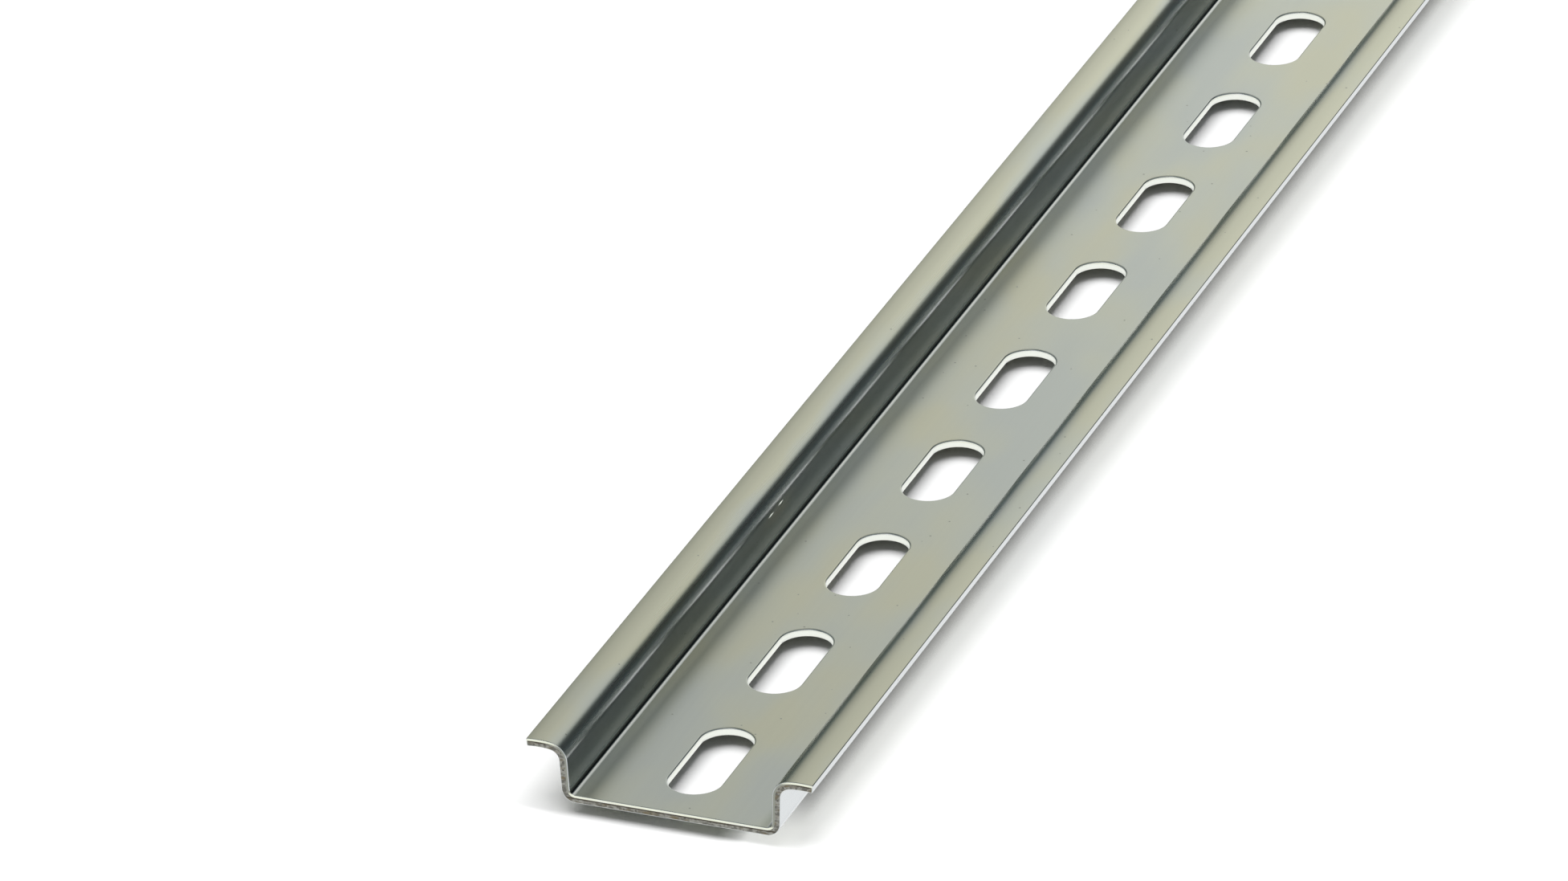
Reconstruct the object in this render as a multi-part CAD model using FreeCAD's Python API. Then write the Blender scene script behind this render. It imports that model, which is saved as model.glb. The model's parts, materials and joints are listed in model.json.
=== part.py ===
import FreeCAD, Part
import math
import os

# A perforated top-hat mounting rail, 35 mm wide and 7.5 mm high, roll formed from one strip of steel.
# It lies as a trough: the slotted web on the floor, and the two flanges up and turned outwards.
# Millimetres. X runs along the rail, Y across it and Z up, with the origin under its middle.

# The piece of stock
rail_length = 1000.0
rail_width = 35.0
rail_height = 7.5
sheet_thickness = 1.0
channel_width = 25.0

# Bends, on their inner side, and the rounding of the strip's two edges
web_bend_radius = 0.4
flange_bend_radius = 0.8
strip_edge_radius = 0.15

# Fixing slots, punched along the middle of the web
slot_width = 6.4
slot_length = 16.0
slot_pitch = 25.0
least_end_bridge = 3.0

# How far the punch reaches past each face of the web
punch_overrun = 1.0

rail_start = -rail_length / 2
inner_wall = channel_width / 2
outer_wall = inner_wall + sheet_thickness
flange_edge = rail_width / 2
flange_underside = rail_height - sheet_thickness


def section_point(y, z):
    return FreeCAD.Vector(rail_start, y, z)


def half_section():
    """Edges of one half of the section, from the top of the web out round the flange and back below."""
    edges = []
    here = section_point(0.0, sheet_thickness)

    def line_to(y, z):
        nonlocal here
        end = section_point(y, z)
        edges.append(Part.LineSegment(here, end).toShape())
        here = end

    def bend_to(y, z, centre_y, centre_z):
        """A quarter circle about the given centre."""
        nonlocal here
        end = section_point(y, z)
        centre = section_point(centre_y, centre_z)
        outward = (here + end) * 0.5 - centre
        middle = centre + outward.normalize() * (end - centre).Length
        edges.append(Part.Arc(here, middle, end).toShape())
        here = end

    web_bend_y = inner_wall - web_bend_radius
    web_bend_z = sheet_thickness + web_bend_radius
    flange_bend_y = outer_wall + flange_bend_radius
    flange_bend_z = flange_underside - flange_bend_radius
    edge_y = flange_edge - strip_edge_radius
    edge_top_z = rail_height - strip_edge_radius
    edge_low_z = flange_underside + strip_edge_radius

    # The upper surface: web, wall and flange
    line_to(web_bend_y, sheet_thickness)
    bend_to(inner_wall, web_bend_z, web_bend_y, web_bend_z)
    line_to(inner_wall, flange_bend_z)
    bend_to(flange_bend_y, rail_height, flange_bend_y, flange_bend_z)
    line_to(edge_y, rail_height)

    # The edge of the strip
    bend_to(flange_edge, edge_top_z, edge_y, edge_top_z)
    line_to(flange_edge, edge_low_z)
    bend_to(edge_y, flange_underside, edge_y, edge_low_z)

    # The lower surface: flange, wall and web
    line_to(flange_bend_y, flange_underside)
    bend_to(outer_wall, flange_bend_z, flange_bend_y, flange_bend_z)
    line_to(outer_wall, web_bend_z)
    bend_to(web_bend_y, 0.0, web_bend_y, web_bend_z)
    line_to(0.0, 0.0)
    return edges


def formed_strip():
    """The rail before it is punched: its section, both halves alike, along its whole length."""
    one_side = half_section()
    middle = FreeCAD.Vector(0, 0, 0)
    across = FreeCAD.Vector(0, 1, 0)
    other_side = [edge.mirror(middle, across) for edge in one_side]
    outline = Part.Wire(Part.sortEdges(one_side + other_side)[0])
    return Part.Face(outline).extrude(FreeCAD.Vector(rail_length, 0, 0))


def slot_centres():
    """Places of the slots along the rail: as many as leave a bridge at both ends, centred on its length."""
    room = rail_length - slot_length - 2 * least_end_bridge
    gaps = math.floor(room / slot_pitch)
    return [(number - gaps / 2) * slot_pitch for number in range(gaps + 1)]


def slot_punch(centre_x):
    """A round-ended punch, standing through the web."""
    radius = slot_width / 2
    straight = slot_length - slot_width
    depth = sheet_thickness + 2 * punch_overrun
    near_end = FreeCAD.Vector(centre_x - straight / 2, 0, -punch_overrun)
    far_end = near_end + FreeCAD.Vector(straight, 0, 0)
    shank = Part.makeBox(straight, slot_width, depth, near_end - FreeCAD.Vector(0, radius, 0))
    rounds = [Part.makeCylinder(radius, depth, end) for end in (near_end, far_end)]
    return shank.fuse(rounds).removeSplitter()


def rail():
    punches = Part.makeCompound([slot_punch(centre_x) for centre_x in slot_centres()])
    return formed_strip().cut(punches).removeSplitter().Solids[0]


def main():
    os.makedirs("parts", exist_ok=True)
    shape = rail()
    shape.exportStep("parts/rail.step")
    box = shape.BoundBox
    print(f"rail: {box.XLength:.2f} x {box.YLength:.2f} x {box.ZLength:.2f} mm")
    print(f"valid {shape.isValid()}, {shape.Volume:.0f} mm3, {len(slot_centres())} slots")


main()
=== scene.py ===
import json
import math

import bmesh
import bpy
from mathutils import Matrix, Vector


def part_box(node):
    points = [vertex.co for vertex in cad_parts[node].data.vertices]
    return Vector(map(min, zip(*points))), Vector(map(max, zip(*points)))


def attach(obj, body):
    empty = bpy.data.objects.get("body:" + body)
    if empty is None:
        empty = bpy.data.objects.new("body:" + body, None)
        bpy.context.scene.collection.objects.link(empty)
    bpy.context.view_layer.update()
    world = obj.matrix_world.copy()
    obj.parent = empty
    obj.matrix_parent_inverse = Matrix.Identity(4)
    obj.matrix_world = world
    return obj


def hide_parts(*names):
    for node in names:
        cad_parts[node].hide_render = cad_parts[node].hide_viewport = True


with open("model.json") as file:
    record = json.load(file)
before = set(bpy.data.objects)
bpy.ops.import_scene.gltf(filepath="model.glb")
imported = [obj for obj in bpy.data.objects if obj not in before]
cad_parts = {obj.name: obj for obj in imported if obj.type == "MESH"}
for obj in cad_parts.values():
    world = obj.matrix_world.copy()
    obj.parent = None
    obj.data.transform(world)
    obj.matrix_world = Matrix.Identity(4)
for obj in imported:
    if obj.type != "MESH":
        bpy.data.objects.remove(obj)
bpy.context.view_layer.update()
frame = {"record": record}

mm = 0.001
alongRail = Vector((1, 0, 0))
acrossRail = Vector((0, 1, 0))
upward = Vector((0, 0, 1))


# Drawing with bends and straight runs

def drawPath(mesh, start, heading, axis, legs, bendSteps):
    # Each leg is a bend of some radius and degrees about the axis, then a straight run
    tip = mesh.verts.new(start)
    for radius, degrees, run in legs:
        turn = math.radians(degrees)
        if radius:
            toCentre = axis.cross(heading) * math.copysign(radius, turn)
            steps = max(1, round(bendSteps * abs(degrees) / 90))
            centre = tip.co + toCentre
            spun = bmesh.ops.spin(mesh, geom=[tip], cent=centre, axis=axis, angle=turn, steps=steps)
            tip = next(item for item in spun["geom_last"] if isinstance(item, bmesh.types.BMVert))
        heading = Matrix.Rotation(turn, 3, axis) @ heading
        if run:
            grown = bmesh.ops.extrude_vert_indiv(mesh, verts=[tip])["verts"]
            bmesh.ops.translate(mesh, verts=grown, vec=heading * run)
            tip = grown[0]
    return tip


def drawLoop(mesh, start, heading, axis, legs, bendSteps):
    # The same, with its end welded to its start
    older = set(mesh.edges)
    last = drawPath(mesh, start, heading, axis, legs, bendSteps)
    new = [edge for edge in mesh.edges if edge not in older]
    ends = [vert for edge in new for vert in edge.verts if len(vert.link_edges) == 1]
    first = next(vert for vert in ends if vert is not last)
    bmesh.ops.weld_verts(mesh, targetmap={last: first})
    return [edge for edge in mesh.edges if edge not in older]


def linkObject(name, mesh):
    data = bpy.data.meshes.new(name)
    mesh.to_mesh(data)
    mesh.free()
    made = bpy.data.objects.new(name, data)
    bpy.context.scene.collection.objects.link(made)
    return made


# The rail: one strip, formed and punched

slotPair = next(mount for mount in frame["record"]["mounts"] if mount["name"] == "slots_20_and_21")
railLow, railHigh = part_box("rail")
rail = {
    "length": railHigh.x - railLow.x,
    "width": railHigh.y - railLow.y,
    "height": railHigh.z - railLow.z,
    "sheet": 1.0 * mm,
    "channel": 25.0 * mm,
    "webBend": 0.7 * mm,        # inner radius of the bends at the foot of the walls
    "flangeBend": 1.3 * mm,     # inner radius of the bends under the flanges
    "wallLean": 2.5,            # degrees by which the formed walls spring open
    "shoulder": 10.0,           # degrees of each flange's bend that are left to a wider curve
    "shoulderBend": 7.5 * mm,
    "flangeFlat": 0.4 * mm,
    "flangeFall": 6.0,          # degrees by which it then curves down to its edge
    "gentleSteps": 4,
    "stripEdge": 0.15 * mm,
    "bendSteps": 12,            # faces to a quarter turn
    "slotPitch": slotPair["dims"]["spacing_x_mm"] * mm,
    "slotLength": slotPair["dims"]["slot_length_mm"] * mm,
    "slotRadius": slotPair["dims"]["hole_r_mm"] * mm,
    "rollOver": 0.22 * mm,      # where the punch drew the upper surface down with it
    "rollSteps": 5,
    "burr": 0.05 * mm,
    "endRound": 0.08 * mm,      # the same at the sheared ends
    "shearBands": 3,            # the first of them burnished by the blade, the rest broken off
}
pitches = round(rail["length"] / rail["slotPitch"])


def shapeOfSide():
    # The section from the web's edge to the flange's, and how far out it starts
    lean = math.radians(rail["wallLean"])
    shoulder = math.radians(rail["shoulder"])
    upperBend = rail["flangeBend"] + rail["sheet"]
    bendRise = (
        rail["webBend"] * (1 - math.sin(lean)) + upperBend * (math.cos(shoulder) - math.sin(lean))
        + rail["shoulderBend"] * (1 - math.cos(shoulder))
    )
    bendReach = (
        rail["webBend"] * math.cos(lean) + upperBend * (math.cos(lean) - math.sin(shoulder))
        + rail["shoulderBend"] * math.sin(shoulder)
    )
    wallRun = (rail["height"] - rail["sheet"] - bendRise) / math.cos(lean)
    flatStart = rail["channel"] / 2 + upperBend + (rail["shoulderBend"] - upperBend) * math.sin(shoulder)
    fallRun = rail["width"] / 2 - rail["stripEdge"] - flatStart - rail["flangeFlat"]
    return wallRun, fallRun, flatStart - bendReach - wallRun * math.sin(lean)


wallRun, fallRun, halfWeb = shapeOfSide()


def gentleBend(radius, degrees, run):
    step = degrees / rail["gentleSteps"]
    return [(radius, step, 0)] * (rail["gentleSteps"] - 1) + [(radius, step, run)]


def sideOfStrip(mesh):
    # From the seam with the web's upper surface, out round the flange and back to its underside
    bend = 90 - rail["wallLean"]
    fall = rail["flangeFall"]
    fallBend = fallRun / math.radians(fall)
    shoulder = rail["shoulder"]
    section = [
        (rail["webBend"], bend, wallRun),
        (rail["flangeBend"] + rail["sheet"], shoulder - bend, 0),
        *gentleBend(rail["shoulderBend"], -shoulder, rail["flangeFlat"]),
        *gentleBend(fallBend, -fall, 0),
        (rail["stripEdge"], -90, rail["sheet"] - 2 * rail["stripEdge"]),
        (rail["stripEdge"], -90, 0),
        *gentleBend(fallBend - rail["sheet"], fall, rail["flangeFlat"]),
        *gentleBend(rail["shoulderBend"] - rail["sheet"], shoulder, 0),
        (rail["flangeBend"], bend - shoulder, wallRun),
        (rail["webBend"] + rail["sheet"], -bend, 0),
    ]
    start = Vector((railLow.x, halfWeb, rail["sheet"]))
    drawPath(mesh, start, acrossRail, alongRail, section, rail["bendSteps"])
    bmesh.ops.spin(
        mesh, geom=mesh.verts[:] + mesh.edges[:], cent=(0, 0, 0), axis=alongRail, angle=0,
        dvec=alongRail * rail["length"] / pitches, steps=pitches,
    )


def slotLoop(mesh, middle, grown, height):
    # The slot's outline, larger all round by grown
    radius = rail["slotRadius"] + grown
    straight = rail["slotLength"] - 2 * rail["slotRadius"]
    start = Vector((middle - straight / 2, -radius, height))
    legs = [(0, 0, straight), (radius, 180, straight), (radius, 180, 0)]
    return drawLoop(mesh, start, alongRail, upward, legs, rail["bendSteps"])


def webWithSlot(mesh, middle):
    # One pitch of the web, with the slot through it: a rolled-over rim, the punched wall and a small burr
    drawn = []
    for step in range(rail["rollSteps"] + 1):
        turn = math.pi / 2 * step / rail["rollSteps"]
        grown = rail["rollOver"] * (1 - math.sin(turn))
        drawn.append((grown, rail["sheet"] - rail["rollOver"] * (1 - math.cos(turn))))
    drawn += [(0, rail["burr"]), (rail["burr"], 0)]
    loops = [slotLoop(mesh, middle, grown, height) for grown, height in drawn]
    for number, (upper, lower) in enumerate(zip(loops, loops[1:])):
        made = bmesh.ops.bridge_loops(mesh, edges=upper + lower)
        if number == rail["rollSteps"]:
            for face in made["faces"]:
                face.material_index = 1
    webWidth = 2 * halfWeb
    for rim, height in ((loops[0], rail["sheet"]), (loops[-1], 0)):
        corner = Vector((middle - rail["slotPitch"] / 2, -halfWeb, height))
        legs = [(0, 0, rail["slotPitch"]), (0, 90, webWidth), (0, 90, rail["slotPitch"]), (0, 90, webWidth)]
        border = drawLoop(mesh, corner, alongRail, upward, legs, 1)
        bmesh.ops.triangle_fill(mesh, edges=rim + border, use_beauty=True)


def closeEnd(mesh, end):
    # A sheared end, in bands through the sheet's thickness
    rim = [edge for edge in mesh.edges if edge.is_boundary and edge.verts[0].co.x * end > 0]
    tipLean = math.radians(rail["flangeFall"])
    edgeStart = rail["width"] / 2 - 1.5 * rail["stripEdge"] - rail["sheet"] * math.sin(tipLean)
    faceEdges = [edge for edge in rim if min(abs(vert.co.y) for vert in edge.verts) < edgeStart]
    across = bmesh.ops.bridge_loops(mesh, edges=faceEdges)["edges"]
    bmesh.ops.subdivide_edges(mesh, edges=across, cuts=rail["shearBands"] - 1, use_grid_fill=True)
    tips = [edge for edge in mesh.edges if edge.is_boundary and edge.verts[0].co.x * end > 0]
    bmesh.ops.holes_fill(mesh, edges=tips, sides=0)


def makeRail():
    mesh = bmesh.new()
    sideOfStrip(mesh)
    bmesh.ops.mirror(mesh, geom=mesh.verts[:] + mesh.edges[:] + mesh.faces[:], merge_dist=-1, axis="Y")
    sides = set(mesh.verts)
    webWithSlot(mesh, railLow.x + rail["slotPitch"] / 2)
    cell = [item for items in (mesh.verts, mesh.edges, mesh.faces) for item in items]
    cell = [item for item in cell if not sides & set(item.verts if hasattr(item, "verts") else [item])]
    bmesh.ops.spin(
        mesh, geom=cell, cent=(0, 0, 0), axis=alongRail, angle=0, dvec=alongRail * rail["slotPitch"],
        steps=pitches - 1, use_duplicate=True,
    )
    bmesh.ops.remove_doubles(mesh, verts=mesh.verts, dist=0.001 * mm)
    formed = set(mesh.faces)
    closeEnd(mesh, railLow.x)
    closeEnd(mesh, railHigh.x)
    bmesh.ops.recalc_face_normals(mesh, faces=mesh.faces)
    rims = [edge for edge in mesh.edges if len(formed & set(edge.link_faces)) == 1]
    for face in set(mesh.faces) - formed:
        face.material_index = 2
    for edge in rims:
        inner, outer = sorted(edge.link_faces, key=lambda face: face in formed)
        sideways = outer.normal.y * math.copysign(1, outer.calc_center_median().y)
        if outer.normal.z > sideways:
            inner.material_index = 1
    bmesh.ops.bevel(
        mesh, geom=rims, offset=rail["endRound"], offset_type="OFFSET", affect="EDGES", segments=4,
        profile=0.5, material=0, clamp_overlap=True,
    )
    for face in mesh.faces:
        face.smooth = True
    piece = linkObject("slotted_rail", mesh)
    shading = piece.modifiers.new("flat faces stay flat", "WEIGHTED_NORMAL")
    shading.keep_sharp = True
    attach(piece, "root")
    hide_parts("rail")
    return piece


railPiece = makeRail()
print("rail made:", len(railPiece.data.vertices), "points,", len(railPiece.data.polygons), "faces")


# Finishes

def newMaterial(name):
    material = bpy.data.materials.new(name)
    material.use_nodes = True
    shader = material.node_tree.nodes["Principled BSDF"]
    return material, material.node_tree, shader


def addNode(tree, kind, inputs, **settings):
    # Each input is given a value, or another node's output to be linked to
    node = tree.nodes.new(kind)
    for name, value in settings.items():
        setattr(node, name, value)
    for name, value in inputs.items():
        if isinstance(value, bpy.types.NodeSocket):
            tree.links.new(value, node.inputs[name])
        else:
            node.inputs[name].default_value = value
    return node


def addPlace(tree):
    return tree.nodes.new("ShaderNodeTexCoord").outputs["Object"]


def addAxes(tree, vector):
    return addNode(tree, "ShaderNodeSeparateXYZ", {0: vector}).outputs


def addMath(tree, operation, first, second):
    return addNode(tree, "ShaderNodeMath", {0: first, 1: second}, operation=operation).outputs[0]


def addRange(tree, value, fromLow, fromHigh, toLow, toHigh):
    inputs = {"Value": value, "From Min": fromLow, "From Max": fromHigh, "To Min": toLow, "To Max": toHigh}
    return addNode(tree, "ShaderNodeMapRange", inputs, interpolation_type="SMOOTHSTEP").outputs["Result"]


def addMix(tree, factor, first, second, blend="MIX"):
    inputs = {"Factor": factor, 6: first, 7: second}
    return addNode(tree, "ShaderNodeMix", inputs, data_type="RGBA", blend_type=blend).outputs[2]


def addNoise(tree, place, stretch, detail):
    scaled = addNode(tree, "ShaderNodeVectorMath", {0: place, 1: stretch}, operation="MULTIPLY").outputs[0]
    return addNode(tree, "ShaderNodeTexNoise", {"Vector": scaled, "Scale": 1, "Detail": detail}).outputs[0]


def addRamp(tree, value, stops):
    ramp = addNode(tree, "ShaderNodeValToRGB", {0: value})
    elements = ramp.color_ramp.elements
    while len(elements) < len(stops):
        elements.new(0.5)
    for element, (place, colour) in zip(elements, stops):
        element.position = place
        element.color = (*colour, 1)
    return ramp.outputs["Color"]


def makeSteelSurface():
    # What all three finishes share: drifting patches, rolled or torn grain, and sparse specks
    tree = bpy.data.node_groups.new("steelSurface", "ShaderNodeTree")
    for name, kind, value in (
        ("Patch Scale", "NodeSocketVector", (45, 110, 110)),
        ("Grain Scale", "NodeSocketVector", (60, 1500, 1500)),
        ("Speck Scale", "NodeSocketFloat", 300),
        ("Speck Size", "NodeSocketFloat", 0.12),
    ):
        tree.interface.new_socket(name, in_out="INPUT", socket_type=kind).default_value = value
    for name in ("Patches", "Grain", "Specks"):
        tree.interface.new_socket(name, in_out="OUTPUT", socket_type="NodeSocketFloat")
    given = tree.nodes.new("NodeGroupInput").outputs
    result = tree.nodes.new("NodeGroupOutput").inputs
    place = addPlace(tree)
    tree.links.new(addNoise(tree, place, given["Patch Scale"], 2), result["Patches"])
    tree.links.new(addNoise(tree, place, given["Grain Scale"], 3), result["Grain"])
    cells = addNode(tree, "ShaderNodeTexVoronoi", {"Vector": place, "Scale": given["Speck Scale"]})
    # Only some of the cells have a speck
    chosen = addNode(tree, "ShaderNodeSeparateColor", {0: cells.outputs["Color"]}).outputs[0]
    kept = addMath(tree, "GREATER_THAN", chosen, 0.8)
    near = addMath(tree, "LESS_THAN", cells.outputs["Distance"], given["Speck Size"])
    tree.links.new(addMath(tree, "MULTIPLY", kept, near), result["Specks"])
    return tree


steelSurface = makeSteelSurface()


def addSurface(tree, patchScale, grainScale, speckScale, speckSize):
    inputs = {
        "Patch Scale": patchScale,
        "Grain Scale": grainScale,
        "Speck Scale": speckScale,
        "Speck Size": speckSize,
    }
    node = tree.nodes.new("ShaderNodeGroup")
    node.node_tree = steelSurface
    for name, value in inputs.items():
        node.inputs[name].default_value = value
    return node.outputs


def addSpot(tree, place, centre, reach, strength):
    # The strength in the middle of an ellipsoid, and nothing past its edge
    offset = addNode(tree, "ShaderNodeVectorMath", {0: place, 1: centre}, operation="SUBTRACT").outputs[0]
    scaled = addNode(tree, "ShaderNodeVectorMath", {0: offset, 1: reach}, operation="DIVIDE").outputs[0]
    distance = addNode(tree, "ShaderNodeVectorMath", {0: scaled}, operation="LENGTH").outputs["Value"]
    return addRange(tree, distance, 0, 1, strength, 0)


def addBump(tree, height, strength, distance):
    inputs = {"Height": height, "Strength": strength, "Distance": distance}
    return addNode(tree, "ShaderNodeBump", inputs).outputs["Normal"]


plating = {
    "bluish": (0.645, 0.69, 0.63),
    "olive": (0.68, 0.715, 0.61),
    "straw": (0.715, 0.725, 0.56),
    "strawEdge": (13.3 * mm, 15.5 * mm),    # over this stretch the flanges turn more towards it
    "strawShift": 0.2,
    "paintedUprightSheen": (0.70, 0.73, 0.74),      # paler and bluer on the upright faces: a painted sheen of the white board they mirror
    "speck": (0.50, 0.52, 0.45),
    "paintedFootHighlight": (0.92, 0.94, 0.88),     # a painted highlight along the bend at the foot of the walls
    "corner": (0.09, 0.09, 0.08),       # painted shade in that bend
    "cornerStart": 0.6,                 # of the bend's radius
    "cornerTop": 0.6 * mm,              # above the web
    "smear": (0.80, 0.76, 0.66),
    "smearPlace": (-434 * mm, 12.5 * mm, 4.5 * mm),
    "smearReach": (7 * mm, 1 * mm, 1.8 * mm),
    "scratch": (0.88, 0.96, 0.86),
    "scratchPlaces": ((-436.5 * mm, 12.6 * mm, 4.9 * mm), (-433.4 * mm, 12.6 * mm, 5 * mm)),
    "scratchReach": (1.2 * mm, 1 * mm, 0.15 * mm),
    "wallRoughness": 0.20,      # burnished by the forming rolls
    "bendRoughness": 0.28,
    "flatRoughness": 0.30,
    "matteRoughness": 0.23,     # added beside the foot of the walls
    "matteEdge": (10.2 * mm, 11.6 * mm),    # over this stretch of the web it comes in
    "matteTop": (1.3 * mm, 2.1 * mm),       # and over this height on the walls it goes out
}


def platedSteel():
    material, tree, shader = newMaterial("platedSteel")
    surface = addSurface(tree, (40, 90, 90), (40, 1400, 1400), 700, 0.09)
    place = addPlace(tree)
    axes = addAxes(tree, place)
    outward = addMath(tree, "ABSOLUTE", axes["Y"], 0)
    strawEdge = addRange(tree, outward, *plating["strawEdge"], 0, plating["strawShift"])
    tone = addMath(tree, "ADD", surface["Patches"], strawEdge)
    stops = [(0.36, plating["bluish"]), (0.5, plating["olive"]), (0.66, plating["straw"])]
    tint = addRamp(tree, tone, stops)
    normal = tree.nodes.new("ShaderNodeNewGeometry").outputs["Normal"]
    level = addMath(tree, "ABSOLUTE", addAxes(tree, normal)["Z"], 0)
    # The upright faces take a paler, bluer tint: a painted sheen of the bright board they mirror
    tint = addMix(tree, addRange(tree, level, 0.2, 0.9, 0, 1), (*plating["paintedUprightSheen"], 1), tint)
    grain = addRange(tree, surface["Grain"], 0.25, 0.75, 0.985, 1.01)
    tint = addMix(tree, 1, tint, grain, "MULTIPLY")
    tint = addMix(tree, surface["Specks"], tint, (*plating["speck"], 1))
    # The foot of each wall: a painted highlight along the bend, then a painted shade line in the corner
    webTop = rail["sheet"]
    cornerTop = webTop + plating["cornerTop"]
    foot = addMath(tree, "LESS_THAN", outward, rail["channel"] / 2 + 0.4 * mm)
    foot = addMath(tree, "MULTIPLY", foot, addRange(tree, axes["Z"], webTop - 0.1 * mm, webTop, 0, 1))
    belowTop = addRange(tree, axes["Z"], cornerTop - 0.25 * mm, cornerTop, 1, 0)
    foot = addMath(tree, "MULTIPLY", foot, belowTop)
    cornerStart = halfWeb + plating["cornerStart"] * rail["webBend"]
    # Painted highlight: a bright line along the bend
    footHighlight = addMath(tree, "MULTIPLY", foot, addRange(tree, outward, halfWeb, halfWeb + 0.1 * mm, 0, 1))
    tint = addMix(tree, footHighlight, tint, (*plating["paintedFootHighlight"], 1))
    # Painted shade: a dark line in the corner above it
    inCorner = addRange(tree, outward, cornerStart, cornerStart + 0.08 * mm, 0, 0.9)
    tint = addMix(tree, addMath(tree, "MULTIPLY", foot, inCorner), tint, (*plating["corner"], 1))
    # Two short scratches in a brownish smear on one wall
    smear = addSpot(tree, place, plating["smearPlace"], plating["smearReach"], 0.7)
    tint = addMix(tree, smear, tint, (*plating["smear"], 1))
    reach = plating["scratchReach"]
    marks = [addSpot(tree, place, spot, reach, 1) for spot in plating["scratchPlaces"]]
    scratches = addMath(tree, "MAXIMUM", *marks)
    tint = addMix(tree, scratches, tint, (*plating["scratch"], 1))
    tree.links.new(tint, shader.inputs["Base Color"])
    # Burnished walls, satin bends and flats, and a matte strip beside and above each corner
    satin = addRange(tree, level, 0.1, 0.4, plating["wallRoughness"], plating["bendRoughness"])
    flatter = plating["flatRoughness"] - plating["bendRoughness"]
    satin = addMath(tree, "ADD", satin, addRange(tree, level, 0.985, 0.999, 0, flatter))
    matte = addRange(tree, outward, *plating["matteEdge"], 0, plating["matteRoughness"])
    matte = addMath(tree, "MULTIPLY", matte, addRange(tree, axes["Z"], *plating["matteTop"], 1, 0))
    unbent = addMath(tree, "ABSOLUTE", addMath(tree, "SUBTRACT", level, 0.5), 0)
    matte = addMath(tree, "MULTIPLY", matte, addRange(tree, unbent, 0.3, 0.48, 0, 1))
    satin = addMath(tree, "ADD", satin, matte)
    satin = addMath(tree, "ADD", satin, addRange(tree, surface["Grain"], 0.2, 0.8, -0.015, 0.015))
    for mask, change in ((footHighlight, -0.14), (surface["Specks"], 0.2), (smear, 0.12), (scratches, 0.4)):
        satin = addMath(tree, "ADD", satin, addMath(tree, "MULTIPLY", mask, change))
    tree.links.new(satin, shader.inputs["Roughness"])
    tree.links.new(addRange(tree, scratches, 0, 1, 1, 0.4), shader.inputs["Metallic"])
    tree.links.new(addBump(tree, surface["Grain"], 0.04, 0.01 * mm), shader.inputs["Normal"])
    return material


shearing = {
    "burnished": (0.89, 0.92, 0.85),
    "straw": (0.88, 0.91, 0.76),
    "wallRim": (0.24, 0.255, 0.225),
    "breakLine": (0.42, 0.37, 0.25),
    "breakHeight": 0.7 * mm,
    "breakWander": 0.5 * mm,
    "torn": (0.42, 0.42, 0.38),
    "tornDark": (0.16, 0.158, 0.14),
    "stain": (0.20, 0.165, 0.10),
    "crease": (0.08, 0.068, 0.048),     # where the blade's burnish ends
    "creaseHeight": 0.6 * mm,
}


def punchedWall():
    material, tree, shader = newMaterial("punchedWall")
    shader.inputs["Metallic"].default_value = 1
    surface = addSurface(tree, (300, 300, 900), (2600, 2600, 300), 500, 0.1)
    height = addAxes(tree, addPlace(tree))["Z"]
    wander = addMath(tree, "SUBTRACT", surface["Patches"], 0.5)
    wander = addMath(tree, "MULTIPLY", wander, shearing["breakWander"])
    above = addMath(tree, "SUBTRACT", addMath(tree, "ADD", height, wander), shearing["breakHeight"])
    upper = addRange(tree, above, 0, 0.05 * mm, 0, 1)
    tint = addMix(tree, upper, (*shearing["burnished"], 1), (*shearing["straw"], 1))
    line = addRange(tree, addMath(tree, "ABSOLUTE", above, 0), 0, 0.03 * mm, 0.35, 0)
    tint = addMix(tree, line, tint, (*shearing["breakLine"], 1))
    # Duller up the walls at the sheared ends
    onWall = addRange(tree, height, rail["sheet"], rail["sheet"] + 0.3 * mm, 0, 0.9)
    wallTop = rail["height"] - 0.2 * mm
    belowTop = addRange(tree, height, wallTop - 0.5 * mm, wallTop, 1, 0)
    onWall = addMath(tree, "MULTIPLY", onWall, belowTop)
    tint = addMix(tree, onWall, tint, (*shearing["wallRim"], 1))
    tree.links.new(tint, shader.inputs["Base Color"])
    tree.links.new(addRange(tree, surface["Grain"], 0.2, 0.8, 0.26, 0.34), shader.inputs["Roughness"])
    tree.links.new(addBump(tree, surface["Grain"], 0.06, 0.01 * mm), shader.inputs["Normal"])
    return material


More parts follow.
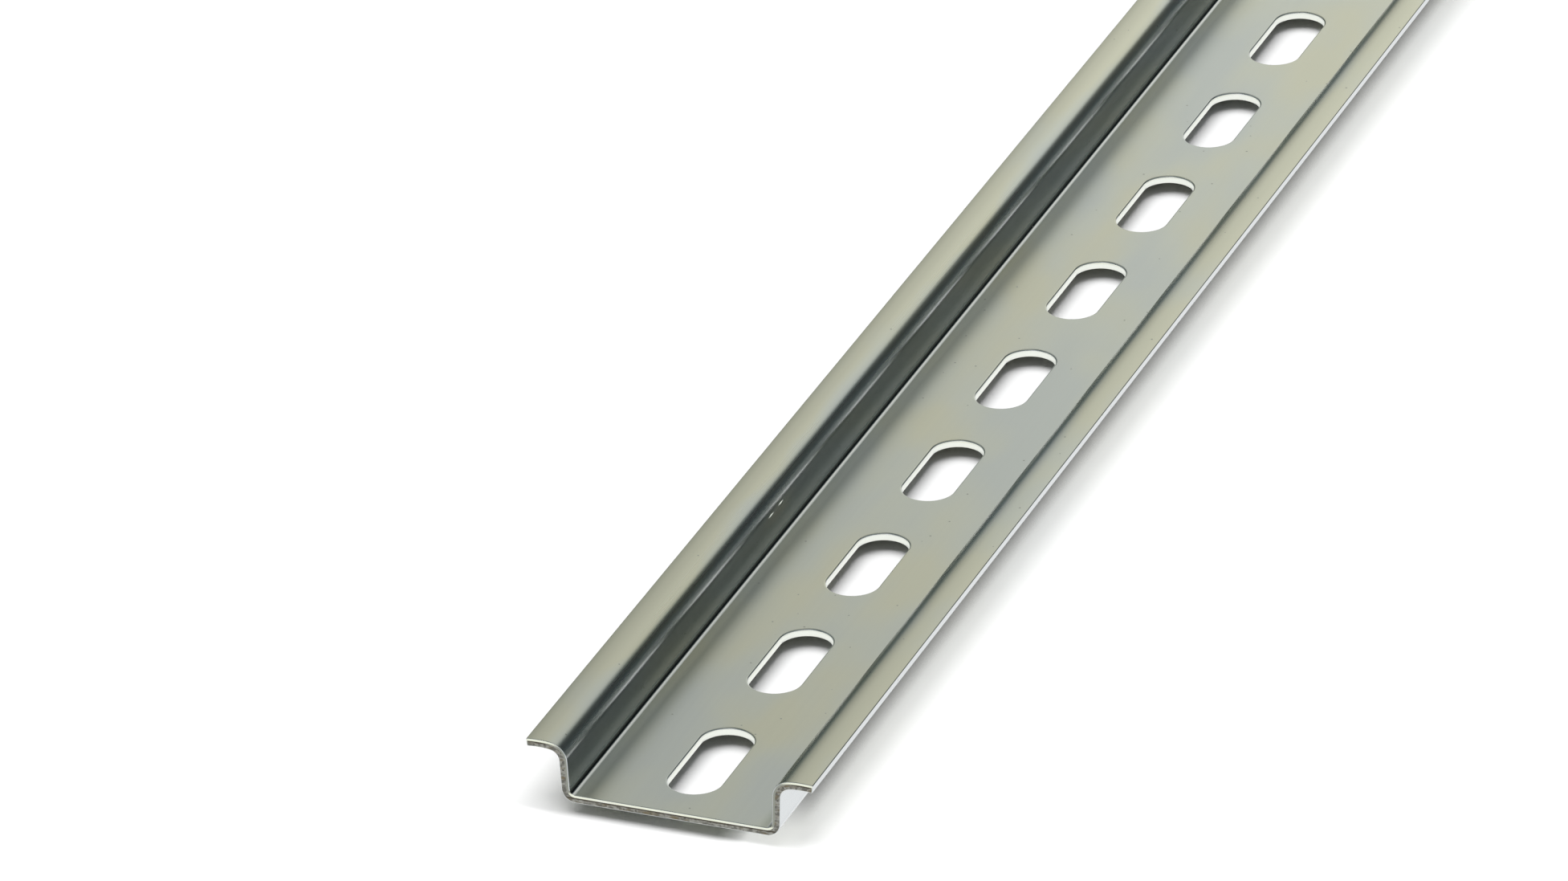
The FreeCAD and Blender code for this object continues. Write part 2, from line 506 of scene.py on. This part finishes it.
def shearedSteel():
    material, tree, shader = newMaterial("shearedSteel")
    shader.inputs["Metallic"].default_value = 1
    surface = addSurface(tree, (500, 600, 1800), (2500, 1500, 2500), 2200, 0.3)
    torn = addRange(tree, surface["Grain"], 0.38, 0.62, 0, 1)
    tint = addMix(tree, torn, (*shearing["tornDark"], 1), (*shearing["torn"], 1))
    stained = addRange(tree, surface["Patches"], 0.5, 0.68, 0, 0.8)
    tint = addMix(tree, stained, tint, (*shearing["stain"], 1))
    tint = addMix(tree, surface["Specks"], tint, (*shearing["tornDark"], 1))
    # The height within the sheet, the same on the web as on the flanges
    height = addAxes(tree, addPlace(tree))["Z"]
    layer = addMath(tree, "MODULO", height, rail["height"] - rail["sheet"])
    away = addMath(tree, "ABSOLUTE", addMath(tree, "SUBTRACT", layer, shearing["creaseHeight"]), 0)
    crease = addRange(tree, away, 0.04 * mm, 0.16 * mm, 0.9, 0)
    tint = addMix(tree, crease, tint, (*shearing["crease"], 1))
    tree.links.new(tint, shader.inputs["Base Color"])
    tree.links.new(addRange(tree, surface["Grain"], 0.3, 0.7, 0.38, 0.62), shader.inputs["Roughness"])
    tree.links.new(addBump(tree, surface["Grain"], 0.3, 0.02 * mm), shader.inputs["Normal"])
    return material


for finish in (platedSteel(), punchedWall(), shearedSteel()):
    railPiece.data.materials.append(finish)
print("finishes made")


# Floor, light and camera

stage = {
    "floorSize": 80.0,
    "floorDrop": 1.5 * mm,      # the white board lies just below the rail, as it would under a thin sheet of clear glass
    "floorTone": 0.6,           # for the light that it passes on
    "litFloor": (1.5, 0.9, 1.0),    # half its length and width; past it the board is plain white
    "skyStrength": 0.25,
    "skyColour": (0.97, 0.985, 1.0),
    "lamps": {                  # place, size and power
        "overheadSoftbox": ((-0.42, 0.26, 1.5), 1.5, 25.0),
        "lowSoftbox": ((-0.3, -2.4, 0.8), 0.5, 100.0),
    },
    "contactReach": 3 * mm,     # how near the foot of the walls the board's colour is darkened: a painted contact shadow
    "contactStart": (6 * mm, 9 * mm),       # out from the rail's middle line
    "contactEnd": (480 * mm, 497 * mm),     # along from its middle
    "tentRadius": 0.6,          # a light tent along the rail, seen only in its reflections
    "tentLength": 6.0,
    "tentLeft": (0.56, 0.98, 0.12),     # a stretch across it, in radii, and its level past that
    "tentRight": (-0.60, -0.22, 0.027),     # the same, with the level before it
    "tentNear": (-0.2, 0.15),   # before this stretch along it, and past the next, its sides are lighter
    "tentFar": (0.95, 1.3),
    "tentOutside": 0.45,
    "flagPlace": (-0.8, 0.22, 0.55),
    "flagReach": (0.65, 0.45, 0.45),
    "shadeColour": (0.66, 0.90, 1.0),
}


def seenRays(tree):
    # What the camera, a reflection or glass sees, not what lights the floor; then the mirrored part of it
    rays = tree.nodes.new("ShaderNodeLightPath").outputs
    mirrored = addMath(tree, "MAXIMUM", rays["Is Glossy Ray"], rays["Is Transmission Ray"])
    mirrored = addMath(tree, "MULTIPLY", mirrored, addMath(tree, "LESS_THAN", rays["Diffuse Depth"], 0.5))
    return addMath(tree, "MAXIMUM", rays["Is Camera Ray"], mirrored), mirrored


def makeFloor():
    mesh = bmesh.new()
    bmesh.ops.create_grid(mesh, x_segments=1, y_segments=1, size=stage["floorSize"] / 2)
    bmesh.ops.translate(mesh, verts=mesh.verts, vec=-upward * stage["floorDrop"])
    floor = linkObject("floor", mesh)
    material, tree, shader = newMaterial("floorPaint")
    seen, mirrored = seenRays(tree)
    # Painted contact shadow: the board's colour darkens by ambient occlusion beside the rail's walls, along
    # its length
    inputs = {"Distance": stage["contactReach"]}
    clear = addNode(tree, "ShaderNodeAmbientOcclusion", inputs, samples=8).outputs["AO"]
    paintedContactShadow = addRange(tree, clear, 0.3, 0.9, 0.25, 1)
    axes = addAxes(tree, addPlace(tree))
    across = addMath(tree, "ABSOLUTE", axes["Y"], 0)
    along = addMath(tree, "ABSOLUTE", axes["X"], 0)
    paintedContactShadow = addMath(tree, "MAXIMUM", paintedContactShadow, addRange(tree, across, *stage["contactStart"], 1, 0))
    paintedContactShadow = addMath(tree, "MAXIMUM", paintedContactShadow, addRange(tree, along, *stage["contactEnd"], 0, 1))
    tone = addMath(tree, "MULTIPLY", paintedContactShadow, addRange(tree, seen, 0, 1, stage["floorTone"], 1))
    tree.links.new(tone, shader.inputs["Base Color"])
    shader.inputs["Roughness"].default_value = 1
    shader.inputs["Specular IOR Level"].default_value = 0
    # The metal mirrors the board as plain white, and so does the camera see it further out
    white = addNode(tree, "ShaderNodeEmission", {"Strength": 1})
    lit = addSpot(tree, addPlace(tree), (0, 0, 0), stage["litFloor"], 1)
    plain = addMath(tree, "MULTIPLY", seen, addRange(tree, lit, 0, 0.4, 1, 0))
    plain = addMath(tree, "MAXIMUM", plain, mirrored)
    inputs = {0: plain, 1: shader.outputs["BSDF"], 2: white.outputs["Emission"]}
    blend = addNode(tree, "ShaderNodeMixShader", inputs)
    tree.links.new(blend.outputs["Shader"], tree.nodes["Material Output"].inputs["Surface"])
    floor.data.materials.append(material)


def makeSky():
    world = bpy.data.worlds.new("studio")
    bpy.context.scene.world = world
    world.use_nodes = True
    tree = world.node_tree
    background = tree.nodes["Background"]
    seen = seenRays(tree)[0]
    tree.links.new(addMix(tree, seen, (*stage["skyColour"], 1), (1, 1, 1, 1)), background.inputs["Color"])
    tree.links.new(addRange(tree, seen, 0, 1, stage["skyStrength"], 1), background.inputs["Strength"])


def makeLamp(name):
    place, size, power = stage["lamps"][name]
    data = bpy.data.lights.new(name, "AREA")
    data.size = size
    data.energy = power
    lamp = bpy.data.objects.new(name, data)
    lamp.location = place
    facing = Vector((place[0], 0, 0)) - lamp.location
    lamp.rotation_euler = facing.to_track_quat("-Z", "Y").to_euler()
    lamp.visible_camera = False
    lamp.visible_glossy = False
    bpy.context.scene.collection.objects.link(lamp)


def makeTent():
    mesh = bmesh.new()
    radius = stage["tentRadius"]
    legs = [(radius, 180, 0)]
    start = Vector((-stage["tentLength"] / 2, radius, 0))
    drawPath(mesh, start, upward, alongRail, legs, 24)
    bmesh.ops.spin(
        mesh, geom=mesh.verts[:] + mesh.edges[:], cent=(0, 0, 0), axis=alongRail, angle=0,
        dvec=alongRail * stage["tentLength"], steps=1,
    )
    tent = linkObject("lightTent", mesh)
    material, tree, shader = newMaterial("tentCloth")
    tree.nodes.remove(shader)
    glow = tree.nodes.new("ShaderNodeEmission")
    tree.links.new(glow.outputs["Emission"], tree.nodes["Material Output"].inputs["Surface"])
    place = addPlace(tree)
    axes = addAxes(tree, place)
    side = addMath(tree, "DIVIDE", axes["Y"], radius)
    along = axes["X"]
    # Dark towards the horizon on both sides, and brightest overhead
    low, high, dark = stage["tentLeft"]
    level = addRange(tree, side, low, high, 1, dark)
    low, high, dark = stage["tentRight"]
    level = addMath(tree, "MULTIPLY", level, addRange(tree, side, low, high, dark, 1))
    level = addMath(tree, "MULTIPLY", level, addRange(tree, side, 0.0, 0.5, 0.96, 1))
    level = addMath(tree, "ADD", level, addRange(tree, side, -0.98, -0.88, 0.06, 0))
    # Less dark where only the other sides of the rail mirror it
    nearer = addRange(tree, along, *stage["tentNear"], stage["tentOutside"], 0)
    farther = addRange(tree, along, *stage["tentFar"], 0, stage["tentOutside"])
    level = addMath(tree, "MAXIMUM", level, addMath(tree, "ADD", nearer, farther))
    # Brighter towards the far end, with a dark flag over the near one
    level = addMath(tree, "MULTIPLY", level, addRange(tree, along, 0.31, 0.58, 0.55, 0.93))
    flag = addSpot(tree, place, stage["flagPlace"], stage["flagReach"], 1)
    level = addMath(tree, "MULTIPLY", level, addRange(tree, flag, 0, 0.5, 1, 0.3))
    tree.links.new(level, glow.inputs["Strength"])
    shade = addRange(tree, level, 0.05, 0.4, 0, 1)
    tree.links.new(addMix(tree, shade, (*stage["shadeColour"], 1), (1, 1, 1, 1)), glow.inputs["Color"])
    tent.data.materials.append(material)
    for kind in ("camera", "diffuse", "transmission", "volume_scatter", "shadow"):
        setattr(tent, "visible_" + kind, False)


camera = {
    "place": (-1.58135, -0.45505, 0.66038),
    "heading": 22.132,      # degrees from the rail's direction, towards +Y
    "dip": 27.568,
    "roll": -1.751,
    "lens": 272.64,
}


def makeCamera():
    data = bpy.data.cameras.new("camera")
    data.lens = camera["lens"]
    data.sensor_width = 36
    data.clip_start = 0.05
    data.clip_end = 200
    view = bpy.data.objects.new("camera", data)
    turned = Matrix.Rotation(math.radians(camera["heading"] - 90), 4, "Z")
    tilted = Matrix.Rotation(math.radians(90 - camera["dip"]), 4, "X")
    rolled = Matrix.Rotation(math.radians(camera["roll"]), 4, "Z")
    view.matrix_world = Matrix.Translation(camera["place"]) @ turned @ tilted @ rolled
    bpy.context.scene.collection.objects.link(view)
    bpy.context.scene.camera = view


makeFloor()
makeSky()
for lampName in stage["lamps"]:
    makeLamp(lampName)
makeTent()
makeCamera()
bpy.context.scene.view_settings.view_transform = "Standard"
print("stage, light and camera made")
